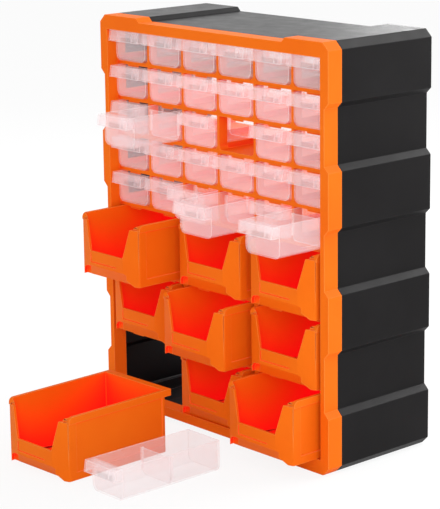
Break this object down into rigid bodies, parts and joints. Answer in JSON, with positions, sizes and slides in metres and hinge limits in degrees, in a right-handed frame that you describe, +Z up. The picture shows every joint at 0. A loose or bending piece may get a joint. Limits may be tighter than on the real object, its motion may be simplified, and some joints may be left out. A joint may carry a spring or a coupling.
{
  "type": "parts bin cabinet",
  "caption": "Open-backed wall or bench cabinet with a moulded front frame, see-through small drawers above larger open-fronted bins, some pulled out or stood on the floor.",
  "frame": {"origin": "on the floor, in the middle of everything's bounding box: the cabinet, its open drawers and the two pieces that stand in front", "axes": "+X to the right of someone facing the cabinet, +Y to its back, +Z up"},
  "size_m": [0.38, 0.3826, 0.475],
  "materials": {
    "casing_black": "satin injection-moulded polypropylene",
    "frame_orange": "satin injection-moulded polypropylene",
    "bin_orange": "satin injection-moulded polypropylene",
    "drawer_clear": "smooth translucent moulded plastic"
  },
  "bodies": {
    "cabinet": {"casing": "casing_black", "front_frame": "frame_orange"},
    "drawer_r1c1_body": {"drawer_r1c1": "drawer_clear"},
    "drawer_r1c2_body": {"drawer_r1c2": "drawer_clear"},
    "drawer_r1c3_body": {"drawer_r1c3": "drawer_clear"},
    "drawer_r1c4_body": {"drawer_r1c4": "drawer_clear"},
    "drawer_r1c5_body": {"drawer_r1c5": "drawer_clear"},
    "drawer_r1c6_body": {"drawer_r1c6": "drawer_clear"},
    "drawer_r2c1_body": {"drawer_r2c1": "drawer_clear"},
    "drawer_r2c2_body": {"drawer_r2c2": "drawer_clear"},
    "drawer_r2c3_body": {"drawer_r2c3": "drawer_clear"},
    "drawer_r2c4_body": {"drawer_r2c4": "drawer_clear"},
    "drawer_r2c5_body": {"drawer_r2c5": "drawer_clear"},
    "drawer_r2c6_body": {"drawer_r2c6": "drawer_clear"},
    "drawer_r3c1_body": {"drawer_r3c1": "drawer_clear"},
    "drawer_r3c2_body": {"drawer_r3c2": "drawer_clear"},
    "drawer_r3c3_body": {"drawer_r3c3": "drawer_clear"},
    "drawer_r3c4_body": {"drawer_r3c4": "drawer_clear"},
    "drawer_r3c5_body": {"drawer_r3c5": "drawer_clear"},
    "drawer_r3c6_body": {"drawer_r3c6": "drawer_clear"},
    "drawer_r4c1_body": {"drawer_r4c1": "drawer_clear"},
    "drawer_r4c2_body": {"drawer_r4c2": "drawer_clear"},
    "drawer_r4c3_body": {"drawer_r4c3": "drawer_clear"},
    "drawer_r4c4_body": {"drawer_r4c4": "drawer_clear"},
    "drawer_r4c5_body": {"drawer_r4c5": "drawer_clear"},
    "drawer_r4c6_body": {"drawer_r4c6": "drawer_clear"},
    "drawer_r5c1_body": {"drawer_r5c1": "drawer_clear"},
    "drawer_r5c2_body": {"drawer_r5c2": "drawer_clear"},
    "drawer_r5c3_body": {"drawer_r5c3": "drawer_clear"},
    "drawer_r5c4_body": {"drawer_r5c4": "drawer_clear"},
    "drawer_r5c5_body": {"drawer_r5c5": "drawer_clear"},
    "drawer_r5c6_body": {"drawer_r5c6": "drawer_clear"},
    "bin_r1c1_body": {"bin_r1c1": "bin_orange"},
    "bin_r1c2_body": {"bin_r1c2": "bin_orange"},
    "bin_r1c3_body": {"bin_r1c3": "bin_orange"},
    "bin_r2c1_body": {"bin_r2c1": "bin_orange"},
    "bin_r2c2_body": {"bin_r2c2": "bin_orange"},
    "bin_r2c3_body": {"bin_r2c3": "bin_orange"},
    "bin_r3c1_body": {"bin_r3c1": "bin_orange"},
    "bin_r3c2_body": {"bin_r3c2": "bin_orange"},
    "bin_r3c3_body": {"bin_r3c3": "bin_orange"}
  },
  "joints": [
    {"name": "drawer_r1c1_slide", "type": "slide", "parent": "cabinet", "child": "drawer_r1c1_body", "axis": [0, -1, 0], "range_m": [0, 0.129]},
    {"name": "drawer_r1c2_slide", "type": "slide", "parent": "cabinet", "child": "drawer_r1c2_body", "axis": [0, -1, 0], "range_m": [0, 0.129]},
    {"name": "drawer_r1c3_slide", "type": "slide", "parent": "cabinet", "child": "drawer_r1c3_body", "axis": [0, -1, 0], "range_m": [0, 0.129]},
    {"name": "drawer_r1c4_slide", "type": "slide", "parent": "cabinet", "child": "drawer_r1c4_body", "axis": [0, -1, 0], "range_m": [0, 0.129]},
    {"name": "drawer_r1c5_slide", "type": "slide", "parent": "cabinet", "child": "drawer_r1c5_body", "axis": [0, -1, 0], "range_m": [0, 0.129]},
    {"name": "drawer_r1c6_slide", "type": "slide", "parent": "cabinet", "child": "drawer_r1c6_body", "axis": [0, -1, 0], "range_m": [0, 0.129]},
    {"name": "drawer_r2c1_slide", "type": "slide", "parent": "cabinet", "child": "drawer_r2c1_body", "axis": [0, -1, 0], "range_m": [0, 0.129]},
    {"name": "drawer_r2c2_slide", "type": "slide", "parent": "cabinet", "child": "drawer_r2c2_body", "axis": [0, -1, 0], "range_m": [0, 0.129]},
    {"name": "drawer_r2c3_slide", "type": "slide", "parent": "cabinet", "child": "drawer_r2c3_body", "axis": [0, -1, 0], "range_m": [0, 0.129]},
    {"name": "drawer_r2c4_slide", "type": "slide", "parent": "cabinet", "child": "drawer_r2c4_body", "axis": [0, -1, 0], "range_m": [0, 0.129]},
    {"name": "drawer_r2c5_slide", "type": "slide", "parent": "cabinet", "child": "drawer_r2c5_body", "axis": [0, -1, 0], "range_m": [0, 0.129]},
    {"name": "drawer_r2c6_slide", "type": "slide", "parent": "cabinet", "child": "drawer_r2c6_body", "axis": [0, -1, 0], "range_m": [0, 0.129]},
    {"name": "drawer_r3c1_slide", "type": "slide", "parent": "cabinet", "child": "drawer_r3c1_body", "axis": [0, -1, 0], "range_m": [0, 0.129]},
    {"name": "drawer_r3c2_slide", "type": "slide", "parent": "cabinet", "child": "drawer_r3c2_body", "axis": [0, -1, 0], "range_m": [-0.068, 0.061]},
    {"name": "drawer_r3c3_slide", "type": "slide", "parent": "cabinet", "child": "drawer_r3c3_body", "axis": [0, -1, 0], "range_m": [0, 0.129]},
    {"name": "drawer_r3c4_lift", "type": "slide", "parent": "cabinet", "child": "drawer_r3c4_body", "axis": [0, 0, 1], "range_m": [0, 0.02]},
    {"name": "drawer_r3c5_slide", "type": "slide", "parent": "cabinet", "child": "drawer_r3c5_body", "axis": [0, -1, 0], "range_m": [0, 0.129]},
    {"name": "drawer_r3c6_slide", "type": "slide", "parent": "cabinet", "child": "drawer_r3c6_body", "axis": [0, -1, 0], "range_m": [0, 0.129]},
    {"name": "drawer_r4c1_slide", "type": "slide", "parent": "cabinet", "child": "drawer_r4c1_body", "axis": [0, -1, 0], "range_m": [0, 0.129]},
    {"name": "drawer_r4c2_slide", "type": "slide", "parent": "cabinet", "child": "drawer_r4c2_body", "axis": [0, -1, 0], "range_m": [0, 0.129]},
    {"name": "drawer_r4c3_slide", "type": "slide", "parent": "cabinet", "child": "drawer_r4c3_body", "axis": [0, -1, 0], "range_m": [0, 0.129]},
    {"name": "drawer_r4c4_slide", "type": "slide", "parent": "cabinet", "child": "drawer_r4c4_body", "axis": [0, -1, 0], "range_m": [0, 0.129]},
    {"name": "drawer_r4c5_slide", "type": "slide", "parent": "cabinet", "child": "drawer_r4c5_body", "axis": [0, -1, 0], "range_m": [0, 0.129]},
    {"name": "drawer_r4c6_slide", "type": "slide", "parent": "cabinet", "child": "drawer_r4c6_body", "axis": [0, -1, 0], "range_m": [0, 0.129]},
    {"name": "drawer_r5c1_slide", "type": "slide", "parent": "cabinet", "child": "drawer_r5c1_body", "axis": [0, -1, 0], "range_m": [0, 0.129]},
    {"name": "drawer_r5c2_slide", "type": "slide", "parent": "cabinet", "child": "drawer_r5c2_body", "axis": [0, -1, 0], "range_m": [0, 0.129]},
    {"name": "drawer_r5c3_slide", "type": "slide", "parent": "cabinet", "child": "drawer_r5c3_body", "axis": [0, -1, 0], "range_m": [-0.017, 0.112]},
    {"name": "drawer_r5c4_slide", "type": "slide", "parent": "cabinet", "child": "drawer_r5c4_body", "axis": [0, -1, 0], "range_m": [-0.06, 0.069]},
    {"name": "drawer_r5c5_slide", "type": "slide", "parent": "cabinet", "child": "drawer_r5c5_body", "axis": [0, -1, 0], "range_m": [0, 0.129]},
    {"name": "drawer_r5c6_slide", "type": "slide", "parent": "cabinet", "child": "drawer_r5c6_body", "axis": [0, -1, 0], "range_m": [-0.072, 0.057]},
    {"name": "bin_r1c1_slide", "type": "slide", "parent": "cabinet", "child": "bin_r1c1_body", "axis": [0, -1, 0], "range_m": [-0.046, 0.073]},
    {"name": "bin_r1c2_slide", "type": "slide", "parent": "cabinet", "child": "bin_r1c2_body", "axis": [0, -1, 0], "range_m": [0, 0.119]},
    {"name": "bin_r1c3_slide", "type": "slide", "parent": "cabinet", "child": "bin_r1c3_body", "axis": [0, -1, 0], "range_m": [0, 0.119]},
    {"name": "bin_r2c1_slide", "type": "slide", "parent": "cabinet", "child": "bin_r2c1_body", "axis": [0, -1, 0], "range_m": [0, 0.119]},
    {"name": "bin_r2c2_slide", "type": "slide", "parent": "cabinet", "child": "bin_r2c2_body", "axis": [0, -1, 0], "range_m": [-0.025, 0.094]},
    {"name": "bin_r2c3_slide", "type": "slide", "parent": "cabinet", "child": "bin_r2c3_body", "axis": [0, -1, 0], "range_m": [0, 0.119]},
    {"name": "bin_r3c1_lift", "type": "slide", "parent": "cabinet", "child": "bin_r3c1_body", "axis": [0, 0, 1], "range_m": [0, 0.02]},
    {"name": "bin_r3c2_slide", "type": "slide", "parent": "cabinet", "child": "bin_r3c2_body", "axis": [0, -1, 0], "range_m": [0, 0.055]},
    {"name": "bin_r3c3_slide", "type": "slide", "parent": "cabinet", "child": "bin_r3c3_body", "axis": [0, -1, 0], "range_m": [-0.034, 0.029]}
  ]
}
